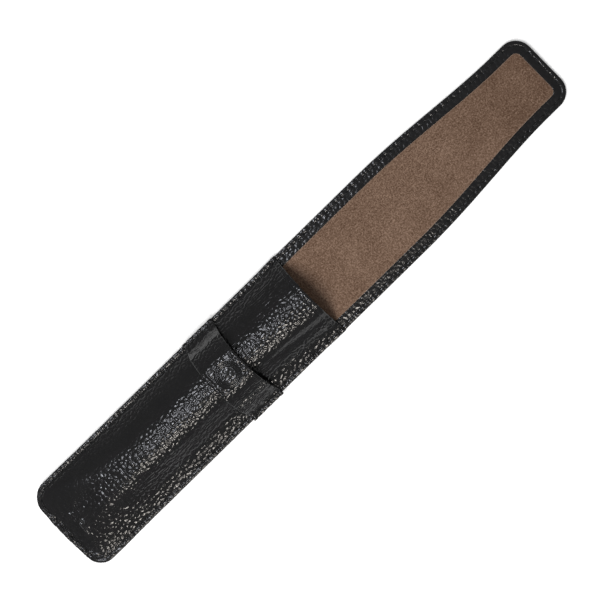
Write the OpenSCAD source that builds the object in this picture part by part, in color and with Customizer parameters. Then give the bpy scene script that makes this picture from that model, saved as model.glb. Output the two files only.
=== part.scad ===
// Soft case for one fountain pen: a sewn leather pouch with a long flap and a keeper strap.
// Millimetres. X runs along the case, +X towards the flap's tip and -X towards the pouch's
// bottom. Y runs across it. Z is up, away from the table. The case lies open, back face down.
// The origin is on the back face, below the middle of the pouch's mouth edge.

/* [Pouch] */
// Length of the pouch, from the mouth line to the bottom edge
pouch_len = 162; // [140:1:190]
// Width of the pouch over both side seams
case_w = 48; // [44:1:60]
// Radius of the two bottom corners
corner_r = 8; // [6:0.5:12]
// Height of the pocket's arch above the flat seam allowance
pocket_rise = 12.5; // [10:0.5:16]
// Length over which the pocket rises from the bottom seam to its full height
pocket_taper = 44; // [30:1:60]
// Width of the flat seam allowance round the pocket
seam_w = 4; // [3.4:0.1:5]
// How far the mouth edge dips back at the middle
mouth_dip = 1.5; // [0:0.1:3]
// Width of the turned hem along the mouth
hem_w = 3.2; // [2.6:0.1:5]

/* [Materials] */
// Thickness of the back and flap leather
back_t = 1.2; // [1:0.1:1.6]
// Thickness of the front panel leather
front_t = 1.1; // [0.9:0.1:1.5]
// Thickness of the suede lining
lining_t = 0.6; // [0.5:0.05:0.8]
// Thickness of the flap's inner leather border
facing_t = 0.8; // [0.7:0.05:1]
// Thickness of the stiffener in the flap
stiffener_t = 0.45; // [0.35:0.05:0.6]

/* [Keeper strap] */
// Width of the keeper strap along the case
keeper_w = 18.7; // [14:0.1:26]
// Distance from the mouth line to the strap's near edge
keeper_from_mouth = 41.7; // [35:0.1:60]
// Free height between the pocket's crest and the strap, for the flap to pass
keeper_gap = 3.2; // [2.9:0.1:4.5]
// Thickness of the strap's leather
keeper_t = 0.9; // [0.7:0.05:1.2]
// Thickness of the strap's lining
keeper_lining_t = 0.5; // [0.4:0.05:0.7]
// How far each strap end stands past the pouch's edge
keeper_over = 0.7; // [0.3:0.1:1.2]
// How far the strap's crest leans towards the pouch's bottom
keeper_lean = 2.4; // [0:0.1:4]

/* [Flap] */
// Length of the flap, from the mouth line to its tip
flap_len = 155; // [140:1:170]
// Distance from the mouth line to the first bend of the fold
fold_start = 1.5; // [1:0.1:4]
// How much narrower the flap's root is than the pouch, on each side
flap_step = 0.1; // [0:0.05:1.5]
// Width of the flap's tongue at its tip
tip_w = 39.2; // [32:0.1:41]
// Distance from the mouth line to the start of the tongue's taper
taper_start = 52; // [40:1:70]
// Distance from the mouth line to the end of the tongue's taper
taper_end = 134; // [115:1:135]
// Radius of the tip's two corners
tip_r = 7.6; // [7:0.1:12]
// Width of the inner leather border
facing_w = 6.2; // [5:0.1:8]
// Radius of the border window's corners
window_r = 3; // [1:0.1:5]
// Free height between the folded flap and the strap's crest
closed_gap = 0.5; // [0.3:0.1:1.5]

/* [Thread] */
// Distance from an edge to its line of stitches
stitch_in = 2.3; // [2.1:0.1:2.5]
// Length from one stitch to the next
stitch_pitch = 3.4; // [3:0.1:5]
// Length of one stitch that shows
stitch_l = 2.5; // [1.8:0.1:2.7]
// Width of the thread
thread_w = 0.6; // [0.4:0.05:0.7]
// Height of the thread above the leather
thread_h = 0.3; // [0.2:0.05:0.35]

/* [Hidden] */
// Layers, counted up from the table
lining_z = back_t;
front_lining_z = lining_z + lining_t;
front_z = front_lining_z + lining_t;
seam_z = front_z + front_t;
facing_z = back_t + facing_t;
flap_lining_z = back_t + stiffener_t;
flap_top_z = max(facing_z, flap_lining_z + lining_t);
// Glued skins of the arch are kept this far apart, so that their facets never cross
glue_gap = 0.06;
half_w = case_w / 2;
flap_w = case_w - 2 * flap_step;
// The mouth's dip fades out over this length
dip_len = 26;
crest_z = seam_z + pocket_rise;
// Strap, from the inside out
strap_side_gap = 0.4;
strap_in_w = half_w - seam_w + strap_side_gap;
strap_in_z = crest_z + keeper_gap;
strap_t = keeper_t + keeper_lining_t;
strap_crest_z = strap_in_z + strap_t;
strap_near = -keeper_from_mouth;
strap_far = -keeper_from_mouth - keeper_w;
strap_half = half_w + keeper_over;
strap_end_in = 0.9;
strap_stitch_y = strap_half - min(stitch_in, (strap_half - strap_in_w - strap_t) / 2 + 0.7);
// The fold turns 180 degrees in two square bends with one link between them, so its length
// sets how high the folded flap lies
fold_len = strap_crest_z + closed_gap + flap_top_z - facing_z - facing_z;
// A run of stitches stops this far short of a bend
thread_end = 0.4;
// A groove in the outer leather takes the thread of the outer side
groove_w = thread_w + 0.3;
groove_d = thread_h + 0.05;
// The hem's crease, a flat-bottomed groove across the arch
crease_d = 0.3;
crease_half = 0.45;
arch_a = 2.5;
arch_b = 0.75;
leather_color = [0.08, 0.08, 0.08];
suede_color = [0.45, 0.36, 0.29];
thread_color = [0.05, 0.05, 0.05];
board_color = [0.62, 0.55, 0.43];

function ease(t) = t <= 0 ? 0 : t >= 1 ? 1 : t * t * (3 - 2 * t);
// Section of the inflated arch, 1 at the middle and 0 at u = 1
function arch(u) = abs(u) >= 1 ? 0 : pow(1 - pow(abs(u), arch_a), arch_b);
// Rise of the pocket along its length, 0 at the bottom seam
function rise(t) = t <= 0 ? 0 : t >= 1 ? 1 : pow(1 - (1 - t) * (1 - t), 0.8);

// ---- the pouch's outline -------------------------------------------------------------
// Rows of the pocket's grid, as distances from the bottom edge
corner_end = max(corner_r, seam_w + 2) + 1;
hem_row = pouch_len - hem_w;
row_d = concat(
    [for (i = [0 : 4]) seam_w * pow(i / 4, 2)],
    [for (i = [1 : 6]) seam_w + (corner_end - seam_w) * pow(i / 6, 1.6)],
    [for (i = [1 : 10]) corner_end + (pocket_taper + seam_w - corner_end) * i / 10],
    [for (i = [1 : 7]) pocket_taper + seam_w + (hem_row - 18 - pocket_taper - seam_w) * i / 7],
    [for (i = [1 : 4]) hem_row - 18 + 17.2 * i / 4],
    [hem_row - crease_half, hem_row + crease_half, hem_row + crease_half + 0.35,
     pouch_len - 0.7, pouch_len]);
last_row = len(row_d) - 1;
lining_last_row = last_row - 5;
// Half width of the pouch, inset by e, at distance d from the bottom edge
function pouch_half(d, e) = let (r = max(corner_r - e, 0.3), s = min(max(d - e, 0), r))
    half_w - e - r + sqrt(max(r * r - (r - s) * (r - s), 0));
module pouch_2d(e, x_end) {
    ds = [for (i = [0 : 16]) e + (corner_end + 1) * pow(i / 16, 1.7)];
    polygon(concat(
        [for (i = [0 : 16]) [-pouch_len + ds[i], -pouch_half(ds[i], e)]],
        [[x_end, -(half_w - e)], [x_end, half_w - e]],
        [for (i = [16 : -1 : 0]) [-pouch_len + ds[i], pouch_half(ds[i], e)]]));
}

// ---- the pocket's skins --------------------------------------------------------------
cols = 22;
// One point of a skin: row distance d, column j, seam depth kf and arch depth kd
function skin_pt(d, j, kf, kd) = let (
    w = pouch_half(d, 0),
    e = seam_w + kd,
    wi = min(pouch_half(max(d, e), e), w - 0.2),
    u = j <= 1 ? -1 : j >= cols - 1 ? 1 : sin(-90 + 180 * (j - 1) / (cols - 2)),
    y = j == 0 ? -w : j == cols ? w : wi * u,
    z0 = seam_z - kf,
    zt = crest_z - kd,
    g = rise((d - e) / pocket_taper),
    x = -pouch_len + d,
    dip = mouth_dip * (1 - pow(y / half_w, 2)) * ease((x + dip_len) / dip_len))
    [x - dip, y, z0 + (zt - z0) * g * arch(u)];
// A closed shell between a top and a bottom skin. Each depth list has one entry per row.
module skin_shell(last, top_f, top_d, bot_f, bot_d) {
    n = cols + 1;
    m = (last + 1) * n;
    top = [for (i = [0 : last]) for (j = [0 : cols]) skin_pt(row_d[i], j, top_f[i], top_d[i])];
    bot = [for (i = [0 : last]) for (j = [0 : cols]) skin_pt(row_d[i], j, bot_f[i], bot_d[i])];
    polyhedron(points = concat(top, bot), faces = concat(
        [for (i = [0 : last - 1]) for (j = [0 : cols - 1]) each
            let (a = i * n + j) [[a, a + 1, a + n + 1], [a, a + n + 1, a + n]]],
        [for (i = [0 : last - 1]) for (j = [0 : cols - 1]) each
            let (a = m + i * n + j) [[a, a + n + 1, a + 1], [a, a + n, a + n + 1]]],
        [for (i = [0 : last - 1]) each let (a = i * n, b = i * n + cols) [
            [a, a + n, m + a + n], [a, m + a + n, m + a],
            [b, m + b + n, b + n], [b, m + b, m + b + n]]],
        [for (j = [0 : cols - 1]) each let (a = j, b = last * n + j) [
            [a, m + a, m + a + 1], [a, m + a + 1, a + 1],
            [b, b + 1, m + b + 1], [b, m + b + 1, m + b]]]));
}

// ---- the flap's outline --------------------------------------------------------------
function flap_half(x) = flap_w / 2
    - (flap_w - tip_w) / 2 * ease(pow(max(x - taper_start, 0) / (taper_end - taper_start), 1.1));
side_n = 26;
// Right-hand edge from x_start to the tip, inset by e at the side and the tip
function flap_edge(x_start, e, r) = let (
    x_tip = flap_len - e,
    x_c = x_tip - r,
    y_c = tip_w / 2 - e - r)
    concat(
        [for (i = [0 : side_n]) let (x = x_start + (x_c - 0.5 - x_start) * i / side_n)
            [x, -(flap_half(x) - e)]],
        [for (a = [0 : 10 : 90]) [x_c + r * sin(a), -(y_c + r * cos(a))]]);
module flap_2d(x_start, e, r) {
    p = flap_edge(x_start, e, r);
    n = len(p) - 1;
    polygon(concat(p, [for (i = [n : -1 : 0]) [p[i][0], -p[i][1]]]));
}
// A straight-ended band of the flap between two stations, from inset e inwards
module band_2d(x0, x1, e) {
    polygon([[x0, -(flap_half(x0) - e)], [x1, -(flap_half(x1) - e)],
             [x1, flap_half(x1) - e], [x0, flap_half(x0) - e]]);
}

// ---- thread --------------------------------------------------------------------------
// One stitch lying along X on z = 0, with bevelled ends
module stitch() {
    l = stitch_l / 2;
    w = thread_w / 2;
    linear_extrude(thread_h)
        polygon([[-l, -w / 2], [-l + w / 2, -w], [l - w / 2, -w], [l, -w / 2],
                 [l, w / 2], [l - w / 2, w], [-l + w / 2, w], [-l, w / 2]]);
}
// Stitches along a straight line between two points
module stitch_line(a, b) {
    len_ab = norm(b - a);
    count = max(floor(len_ab / stitch_pitch), 1);
    ang = atan2(b[1] - a[1], b[0] - a[0]);
    for (i = [0 : count - 1]) {
        p = a + (b - a) * (i + 0.5) / count;
        translate([p[0], p[1], 0]) rotate([0, 0, ang]) stitch();
    }
}
// Stitches round a quarter circle about c, from angle a0
module stitch_arc(c, r, a0) {
    count = max(floor(r * PI / 2 / stitch_pitch), 1);
    for (i = [0 : count - 1]) {
        a = a0 + 90 * (i + 0.5) / count;
        translate([c[0] + r * cos(a), c[1] + r * sin(a), 0]) rotate([0, 0, a + 90]) stitch();
    }
}
pouch_arc_r = corner_r - stitch_in;
pouch_line_y = half_w - stitch_in;
module pouch_bottom_stitches() {
    x_b = -pouch_len + stitch_in;
    x_c = -pouch_len + corner_r;
    y_c = half_w - corner_r;
    stitch_line([x_b, -y_c], [x_b, y_c]);
    stitch_arc([x_c, y_c], pouch_arc_r, 90);
    stitch_arc([x_c, -y_c], pouch_arc_r, 180);
}
module pouch_side_stitches(x0, x1) {
    for (s = [-1, 1]) stitch_line([x0, s * pouch_line_y], [x1, s * pouch_line_y]);
}
// Stitches along both sides of the flap between two stations
module flap_side_stitches(x0, x1) {
    count = max(floor((x1 - x0) / stitch_pitch), 1);
    for (i = [0 : count - 1], s = [-1, 1]) {
        x = x0 + (x1 - x0) * (i + 0.5) / count;
        slope = atan2(flap_half(x + 0.5) - flap_half(x - 0.5), 1);
        translate([x, s * (flap_half(x) - stitch_in), 0]) rotate([0, 0, s * slope]) stitch();
    }
}
module flap_tip_stitches() {
    x_t = flap_len - stitch_in;
    x_c = flap_len - tip_r;
    y_c = tip_w / 2 - tip_r;
    r = tip_r - stitch_in;
    stitch_line([x_t, -y_c], [x_t, y_c]);
    stitch_arc([x_c, y_c], r, 0);
    stitch_arc([x_c, -y_c], r, 270);
}
// The open-ended groove along an outline's line of stitches
module flap_groove(x0, x1) {
    translate([0, 0, -1]) linear_extrude(1 + groove_d) intersection() {
        translate([x0, -case_w]) square([x1 - x0, 2 * case_w]);
        difference() {
            flap_2d(-1, stitch_in - groove_w / 2, tip_r - stitch_in + groove_w / 2);
            flap_2d(-2, stitch_in + groove_w / 2, tip_r - stitch_in - groove_w / 2);
        }
    }
}
module pouch_groove() {
    translate([0, 0, -1]) linear_extrude(1 + groove_d) difference() {
        pouch_2d(stitch_in - groove_w / 2, fold_start + 1);
        pouch_2d(stitch_in + groove_w / 2, fold_start + 2);
    }
}

// ---- pouch ---------------------------------------------------------------------------
module back_panel() color(leather_color) difference() {
    linear_extrude(back_t) pouch_2d(0, fold_start);
    pouch_groove();
}
module back_lining() color(suede_color)
    translate([0, 0, lining_z]) linear_extrude(lining_t) pouch_2d(0, fold_start);
module front_panel() color(leather_color) {
    hem_k = front_t + glue_gap + lining_t;
    in_hem = [for (i = [0 : last_row]) i > last_row - 4];
    in_crease = [for (i = [0 : last_row]) i == last_row - 4 || i == last_row - 3];
    skin_shell(last_row,
        [for (i = [0 : last_row]) 0],
        [for (i = [0 : last_row]) in_crease[i] ? crease_d : 0],
        [for (i = [0 : last_row]) in_hem[i] ? front_t + lining_t : front_t],
        [for (i = [0 : last_row]) in_hem[i] ? hem_k : front_t]);
}
module front_lining() color(suede_color)
    skin_shell(lining_last_row,
        [for (i = [0 : last_row]) front_t],
        [for (i = [0 : last_row]) front_t + glue_gap],
        [for (i = [0 : last_row]) front_t + lining_t],
        [for (i = [0 : last_row]) front_t + glue_gap + lining_t]);
module seam_thread_front() color(thread_color) translate([0, 0, seam_z]) {
    pouch_bottom_stitches();
    pouch_side_stitches(-pouch_len + corner_r, strap_far - 0.6);
    pouch_side_stitches(strap_near + 0.6, -hem_w - crease_half - 0.3);
}
module seam_thread_back() color(thread_color) translate([0, 0, groove_d - thread_h]) {
    pouch_bottom_stitches();
    pouch_side_stitches(-pouch_len + corner_r, fold_start - thread_end);
}
// Stitches across the arch, lying in the hem's crease
module mouth_thread() color(thread_color) {
    e = seam_w + crease_d;
    w = half_w - e;
    h = crest_z - crease_d - seam_z;
    lift = thread_h / 2 + 0.1;
    for (a = [-70 : 10 : 70]) {
        u = sin(a);
        y = w * u;
        z = seam_z + h * arch(u);
        slope = atan2(h * (arch(sin(a + 2)) - arch(sin(a - 2))), w * (sin(a + 2) - sin(a - 2)));
        x = -pouch_len + hem_row - mouth_dip * (1 - pow(y / half_w, 2))
            * ease((dip_len - hem_w) / dip_len);
        translate([x, y, z]) rotate([slope, 0, 0]) translate([0, 0, lift])
            cube([thread_w, min(stitch_l, 2.2), thread_h], center = true);
    }
}

// ---- keeper strap --------------------------------------------------------------------
// Half section of the strap between depth k0 and k1, as a closed polygon in Y and Z
function strap_curve(k, n) = [for (i = [-n : n]) let (u = sin(90 * i / n))
    [(strap_in_w + k) * u, seam_z + k + (strap_in_z - seam_z) * arch(u)]];
module strap_section(k0, k1) {
    outer = strap_curve(k1, 20);
    inner = strap_curve(k0, 20);
    polygon(concat(
        [[-strap_half, seam_z + k0], [-strap_half, seam_z + k1]], outer,
        [[strap_half, seam_z + k1], [strap_half, seam_z + k0]],
        [for (i = [len(inner) - 1 : -1 : 0]) inner[i]]));
}
module strap_plan() {
    bend = [for (i = [-16 : 16]) let (u = sin(90 * i / 16))
        [(strap_in_w + strap_t) * u, keeper_lean * arch(u)]];
    polygon(concat(
        [[strap_near, -strap_half - 1]], [for (b = bend) [strap_near - b[1], b[0]]],
        [[strap_near, strap_half + 1], [strap_far, strap_half + 1]],
        [for (i = [len(bend) - 1 : -1 : 0]) [strap_far - bend[i][1], bend[i][0]]],
        [[strap_far, -strap_half - 1]]));
}
module strap_layer(k0, k1) intersection() {
    translate([strap_near + strap_t, 0, 0]) rotate([90, 0, -90])
        linear_extrude(keeper_w + keeper_lean + 2 * strap_t)
            mirror([1, 0, 0]) strap_section(k0, k1);
    linear_extrude(strap_crest_z + strap_t) strap_plan();
}
module keeper_strap() color(leather_color) strap_layer(keeper_lining_t, strap_t);
module keeper_lining() color(leather_color) strap_layer(0, keeper_lining_t);
module keeper_thread() color(thread_color) translate([0, 0, seam_z + strap_t])
    for (s = [-1, 1])
        stitch_line([strap_far + strap_end_in, s * strap_stitch_y],
                    [strap_near - strap_end_in, s * strap_stitch_y]);

// ---- fold ----------------------------------------------------------------------------
flap_x = fold_start + fold_len;
module fold_outer() color(leather_color) difference() {
    linear_extrude(back_t) band_2d(fold_start, flap_x, 0);
    flap_groove(fold_start - 1, flap_x + 1);
}
module fold_lining() color(suede_color) translate([0, 0, lining_z])
    linear_extrude(lining_t) band_2d(fold_start, flap_x, facing_w);
module fold_border(s) translate([0, 0, back_t]) linear_extrude(facing_t)
    polygon([[fold_start, s * flap_half(fold_start)], [flap_x, s * flap_half(flap_x)],
             [flap_x, s * (flap_half(flap_x) - facing_w)],
             [fold_start, s * (flap_half(fold_start) - facing_w)]]);
module fold_border_left() color(leather_color) fold_border(1);
module fold_border_right() color(leather_color) fold_border(-1);
module fold_thread() color(thread_color) {
    translate([0, 0, facing_z]) flap_side_stitches(fold_start + thread_end, flap_x - thread_end);
    translate([0, 0, groove_d - thread_h])
        flap_side_stitches(fold_start + thread_end, flap_x - thread_end);
}

// ---- flap ----------------------------------------------------------------------------
module flap_outer() color(leather_color) difference() {
    linear_extrude(back_t) flap_2d(flap_x, 0, tip_r);
    flap_groove(flap_x - 1, flap_len);
}
module flap_stiffener() color(board_color) translate([0, 0, back_t])
    linear_extrude(stiffener_t) flap_2d(flap_x, facing_w, window_r);
module flap_lining() color(suede_color) translate([0, 0, flap_lining_z])
    linear_extrude(lining_t) flap_2d(flap_x, facing_w, window_r);
module flap_border() color(leather_color) translate([0, 0, back_t]) {
    p = flap_edge(flap_x, 0, tip_r);
    q = flap_edge(flap_x, facing_w, window_r);
    n = len(p) - 1;
    m = len(q) - 1;
    linear_extrude(facing_t) polygon(concat(
        p, [for (i = [n : -1 : 0]) [p[i][0], -p[i][1]]],
        [for (i = [0 : m]) [q[i][0], -q[i][1]]], [for (i = [m : -1 : 0]) q[i]]));
}
module flap_thread_inner() color(thread_color) translate([0, 0, facing_z]) {
    flap_side_stitches(flap_x + thread_end, flap_len - tip_r);
    flap_tip_stitches();
}
module flap_thread_outer() color(thread_color) translate([0, 0, groove_d - thread_h]) {
    flap_side_stitches(flap_x + thread_end, flap_len - tip_r);
    flap_tip_stitches();
}

back_panel();
back_lining();
front_panel();
front_lining();
seam_thread_front();
seam_thread_back();
mouth_thread();
keeper_strap();
keeper_lining();
keeper_thread();
fold_outer();
fold_lining();
fold_border_left();
fold_border_right();
fold_thread();
flap_outer();
flap_stiffener();
flap_lining();
flap_border();
flap_thread_inner();
flap_thread_outer();
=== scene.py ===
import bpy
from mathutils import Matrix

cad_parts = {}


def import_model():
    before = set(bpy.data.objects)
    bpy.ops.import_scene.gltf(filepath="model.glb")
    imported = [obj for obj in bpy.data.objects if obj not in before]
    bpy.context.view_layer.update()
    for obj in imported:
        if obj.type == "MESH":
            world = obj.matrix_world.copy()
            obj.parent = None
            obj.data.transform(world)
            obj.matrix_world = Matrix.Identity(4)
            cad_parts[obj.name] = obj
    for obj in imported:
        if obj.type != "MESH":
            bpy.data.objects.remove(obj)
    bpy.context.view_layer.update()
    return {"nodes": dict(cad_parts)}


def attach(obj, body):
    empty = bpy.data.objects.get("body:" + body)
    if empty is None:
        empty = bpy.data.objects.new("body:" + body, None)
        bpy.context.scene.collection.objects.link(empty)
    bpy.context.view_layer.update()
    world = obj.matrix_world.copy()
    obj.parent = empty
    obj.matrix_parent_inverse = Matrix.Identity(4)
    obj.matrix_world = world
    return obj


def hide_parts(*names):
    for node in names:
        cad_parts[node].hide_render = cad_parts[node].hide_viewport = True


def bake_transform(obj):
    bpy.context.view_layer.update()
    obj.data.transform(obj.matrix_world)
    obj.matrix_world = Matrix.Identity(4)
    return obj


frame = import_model()

import copy
import math

import bpy
import numpy as np
from mathutils import Vector

# A soft case for one fountain pen, lying open: the pouch runs to -X from its mouth at x = 0, the flap to +X.
# Lengths are in mm up to the point where a mesh is made. The stage at the end is in metres.

# ------------ sizes, mm
# pouch
PL, HW = 162.0, 24.0            # length and half width
R_LEFT, R_RIGHT = 8.6, 7.4      # bottom corners on +Y and -Y: sewn by hand, not quite alike
SEAM = 4.0                      # width of the flat band that the seam lies in
FOOT = HW - 2.7                 # half width of the arched pocket
RISE = 12.5                     # height of its crest above the seam band
DIP, DIP_LEN = 1.5, 26.0        # the mouth's edge dips in the middle, and the dip fades out over this length
HEM = 3.2                       # width of the mouth's hem
EDGE_FILL = -7.0                # from here to the mouth the flap's border lies in the seam, not the linings
# sheets
BACK, LIN, FRONT, FACE = 1.2, 0.6, 1.1, 0.8     # thickness of back, linings, front and the flap's border
SEAM_Z = BACK + 2 * LIN + FRONT                 # top of the seam band
UNDER = 0.12                    # the outer hide's ground plane, so that its pebbles stand on the table
GRAIN, NAP = 0.33, 0.05         # height of the hide's pebbles, and of the suede's nap
EDGE_R = 0.45                   # rounding of a leather edge
CUT_ROW = 0.02                  # the last row of a sheet lies this close to a raw cut
# fold and flap
FOLD0, LINK = 1.5, 19.35        # the first hinge line, and how far the second is from it
MID = FOLD0 + LINK / 2          # where the pieces of the fold meet those of the flap
FLAPX = FOLD0 + LINK            # the second hinge line
BEND = 3.0                      # the sheets turn over this length on either side of a hinge line
FLEN, FHW = 154.6, 24.0         # the flap's end and its half width
TIPHW, TIPR = 19.55, 9.0        # half width and corners of its tip
T0, T1 = 52.0, 138.0            # between these it narrows
FB = 6.3                        # width of its border
WINDOW = FHW - FB + 0.25        # half width of the suede, which laps over the border a little
SUEDE_TOP = 2.28                # height of the suede on the flap
# keeper strap
K_NEAR, K_W = -41.7, 18.7       # its edge nearer the mouth, and its width
K_LEAN = 2.4                    # its crest lies this much further from the mouth than its ends
K_GAP = 3.2                     # height of the slot under its crest
K_T, K_LIN = 1.4, 0.5           # thickness with its lining, and the lining's own
STRAP_END = HW + 0.7            # its ends stand a little over the pouch's edges
STRAP_IN_W = HW - SEAM + 0.4    # half width of the slot
STRAP_RISE = RISE + K_GAP
MARK_R = 5.9                    # outer radius of the round mark
# stitches
STITCH = 2.3                    # inset of the seams
STITCH_GAP = 0.75               # from one stitch to the next
THREAD_R = 0.27
STRAP_STITCHES = 6              # across each end of the strap
STRAP_PITCH = K_W / STRAP_STITCHES

# what a piece hangs on: a body, or two and the stretch of X in which it goes from one to the other
POUCH = ("pouch",)
FOLD_1 = ("pouch", "fold", FOLD0 - BEND, FOLD0 + BEND + 0.3)
FOLD_2 = ("fold", "flap", FLAPX - BEND - 0.3, FLAPX + BEND)


def smooth(a, b, x):
    t = np.clip((x - a) / (b - a), 0, 1)
    return t * t * (3 - 2 * t)


def between(a, b, c, d, x):
    """Rises from a to b and falls from c to d."""
    return smooth(a, b, x) * smooth(d, c, x)


def bell(d, width):
    """1 where the distance d is 0, fading over the width."""
    return np.exp(-(d / width) ** 2)


def unit(v):
    return v / np.maximum(np.linalg.norm(v, axis=-1, keepdims=True), 1e-12)


def lengths(*xyz):
    """Length along a line of points, from its first one."""
    steps = np.diff(np.stack(xyz, 1), axis=0)
    return np.r_[0, np.cumsum(np.linalg.norm(steps, axis=1))]


def points(x, y, z):
    return np.stack(np.broadcast_arrays(x, y, z), -1)


def at_length(q, run, *values):
    """What a line has at the lengths q, from its own lengths and values."""
    return np.stack([np.interp(q, run, v) for v in values], -1)


def outward(A, B, N, off):
    """Two values of a line's points, such as X and Y, at the distances off along its normals."""
    return A[:, None] + N[:, :1] * off, B[:, None] + N[:, 1:] * off


def from_tilts(tilts, level=True):
    """A section's height, 0 to 1, from its slope in degrees at a few places. Level ones end at 0."""
    y0, deg = np.array(tilts).T
    y = np.linspace(y0[0], y0[-1], 1601)
    slope = np.tan(np.radians(np.interp(y, y0, deg)))
    z = np.r_[0, np.cumsum((slope[1:] + slope[:-1]) / 2 * np.diff(y))]
    if level:
        z -= z[-1] * (y - y[0]) / (y[-1] - y[0])
    return y, z / z.max()


# The pocket's section leans: a flat crest a little to +Y, a straight flank on +Y, and on -Y a steep flank
# that runs out almost flat towards the seam. Near the bottom the crest is nearer -Y and the flanks straight.
POCKET = from_tilts([(-FOOT, 14), (-18.2, 17), (-16, 23), (-14.6, 37), (-8.6, 38), (-7.2, 25), (-3, 9),
                     (0, 3), (2.6, 0), (4.6, -8), (6.2, -26), (8.5, -38), (FOOT, -41)])
POCKET_END = from_tilts([(-FOOT, 18), (-16, 26), (-9, 29), (-6, 20), (-3.5, 0), (-1, -8), (3, -14),
                         (6, -24), (10, -31), (FOOT, -33)])
# its slope along the middle and along +Y, from the bottom seam
BOTTOM = from_tilts([(0, 27), (9, 23), (15, 14), (24, 9), (44, 7.5), (60, 2)], level=False)
BOTTOM_PLUS = from_tilts([(0, 24), (20, 19), (36, 13), (48, 6), (60, 2)], level=False)


# the strap's slopes: crest, flanks, shoulders, and the steep sides above the tabs
STRAP = from_tilts([(-STRAP_END, 14), (-23, 16), (-22.1, 20), (-21.4, 45), (-20.6, 68), (-19.4, 66),
                    (-17.6, 60), (-16.2, 50), (-15, 42), (-10.4, 41), (-9, 35), (-7.4, 20), (-6, 6), (0, 0),
                    (6, -6), (8, -20), (10, -31), (12, -38), (16.4, -40), (17, -62), (18.8, -68),
                    (19.6, -54), (20.2, -34), (21.5, -26), (22.5, -18), (STRAP_END, -15)])


def pocket(y, x):
    """Height of the pocket's section at x, 0 to 1. Near the mouth its -Y flank is drawn in."""
    near = smooth(-136, -100, x)
    y_near = y + 2.4 * smooth(-45, 0, x) * smooth(-1, -6, y) * smooth(-21, -15, y)
    return np.interp(y_near, *POCKET) * near + np.interp(y, *POCKET_END) * (1 - near)


def bottom_rise(d, y):
    """The dome's rise over its length from the bottom seam, slower on +Y."""
    plus = smooth(-8, 7, y)
    return np.interp(d, *BOTTOM) * (1 - plus) + np.interp(d, *BOTTOM_PLUS) * plus


def arch(u):
    """A full arch: 1 at u = 0, and 0 at 1 and -1."""
    return np.clip(1 - np.abs(u) ** 2.5, 0, 1) ** 0.75


def flap_half(x):
    """The flap's half width at x."""
    t = np.clip((x - T0) / (T1 - T0), 0, None) ** 1.1
    return FHW - (FHW - TIPHW) * smooth(0, 1, t)


# ------------ noise
def lattice(ix, iy, seed):
    """A number from 0 to 1 for each whole place, the same on every run."""
    h = (ix.astype(np.int64) * 374761393 + iy.astype(np.int64) * 668265263 + seed * 974634777) & 0xFFFFFFFF
    h = ((h ^ (h >> 13)) * 1274126177) & 0xFFFFFFFF
    return ((h ^ (h >> 16)) & 0xFFFFFF) / 0xFFFFFF


def noise(x, y, seed):
    """Smooth noise with one bump for each unit, -0.5 to 0.5."""
    ix, iy = np.floor(x), np.floor(y)
    fx, fy = x - ix, y - iy
    fx, fy = fx ** 3 * (fx * (6 * fx - 15) + 10), fy ** 3 * (fy * (6 * fy - 15) + 10)
    a, b = lattice(ix, iy, seed), lattice(ix + 1, iy, seed)
    c, d = lattice(ix, iy + 1, seed), lattice(ix + 1, iy + 1, seed)
    return (a + (b - a) * fx) * (1 - fy) + (c + (d - c) * fx) * fy - 0.5


def fbm(x, y, seed, octaves=3):
    """Layers of noise, each of half the size and height of the one before."""
    out, amp = 0, 1.0
    for k in range(octaves):
        out = out + amp * noise(x * 2 ** k + 17.3 * k, y * 2 ** k - 9.1 * k, seed + k)
        amp *= 0.5
    return out


def cells(x, y, seed, jitter=0.92):
    """Distances to the nearest two cell points, and the nearest cell's own number, 0 to 1."""
    ix, iy = np.floor(x), np.floor(y)
    f1, f2, cid = np.full(x.shape, 9.0), np.full(x.shape, 9.0), np.zeros(x.shape)
    for dx in (-1, 0, 1):
        for dy in (-1, 0, 1):
            cx, cy = ix + dx, iy + dy
            px = cx + 0.5 + jitter * (lattice(cx, cy, seed) - 0.5)
            py = cy + 0.5 + jitter * (lattice(cx, cy, seed + 31) - 0.5)
            r = np.hypot(px - x, py - y)
            near = r < f1
            f2 = np.where(near, f1, np.minimum(f2, r))
            cid = np.where(near, lattice(cx, cy, seed + 77), cid)
            f1 = np.where(near, r, f1)
    return f1, f2, cid


def domes(s, t, seed, size_s, size_t):
    """Rounded cells with narrow creases between them, 0 to 1."""
    wx, wy = 0.5 * fbm(s / 3.1, t / 3.1, seed + 1), 0.5 * fbm(s / 3.1, t / 3.1, seed + 9)
    f1, f2, cid = cells(s / size_s + wx, t / size_t + wy, seed)
    q = np.clip((f2 - f1) / 0.85, 0, 1)
    return (1 - (1 - q) ** 2.5) * (0.7 + 0.3 * cid)


def pebble(s, t, pull):
    """Relief of a pebbled hide, 0 in the creases to 1 on the pebbles. Where it is pulled, 1 along s or -1
    along t, the pebbles run out into shallow wrinkles."""
    big, small = domes(s, t, 5, 2.4, 2.15), domes(s, t, 45, 1.15, 1.05)
    g = big * (1 - 0.12 * smooth(0.0, 0.35, fbm(s / 8.0, t / 8.0, 26)) * (1 - small))
    for strain, seed, size_s, size_t in ((pull, 65, 5.0, 1.2), (-pull, 85, 1.2, 4.8)):
        if np.any(strain > 0):
            g = g + np.clip(strain, 0, 1) * (0.15 + 0.8 * domes(s, t, seed, size_s, size_t) - g)
    return g


# ------------ mesh building
# what each point keeps: its flat place s and t, its share w of the relief, its inset e from the outline, its
# length along the seam, run, and wear, 1 on a cut edge
FIELDS = {"s": 0.0, "t": 0.0, "w": 1.0, "e": 9.0, "run": 0.0, "wear": 0.0}


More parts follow.
